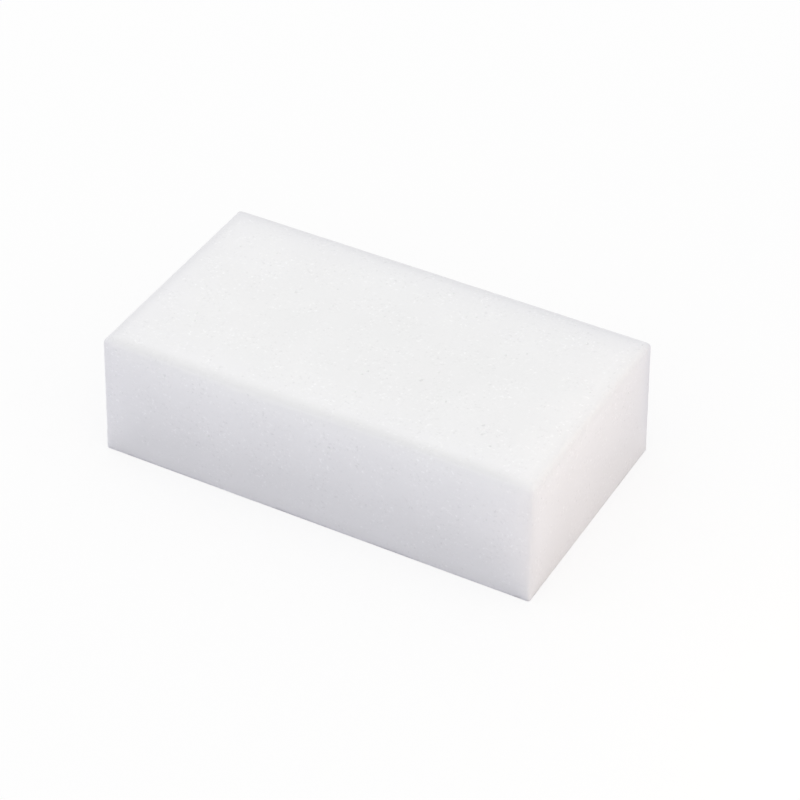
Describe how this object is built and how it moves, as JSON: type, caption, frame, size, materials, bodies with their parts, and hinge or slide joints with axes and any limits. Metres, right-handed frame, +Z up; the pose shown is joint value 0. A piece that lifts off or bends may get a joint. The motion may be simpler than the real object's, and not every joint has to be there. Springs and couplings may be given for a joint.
{
  "type": "cleaning sponge",
  "caption": "Rectangular block of rigid white eraser foam for wiping marks off surfaces, with leaning cut faces and softly rounded top edges.",
  "frame": {"origin": "middle of the foot, on the surface that the block rests on", "axes": "+X along the block's long side, +Z up from the foot, the long front side faces -Y"},
  "size_m": [0.11, 0.0608, 0.0317],
  "materials": {
    "melamine_foam": "matte white open-cell foam, fine pores"
  },
  "bodies": {
    "root": {"foam_block": "melamine_foam"}
  },
  "joints": []
}
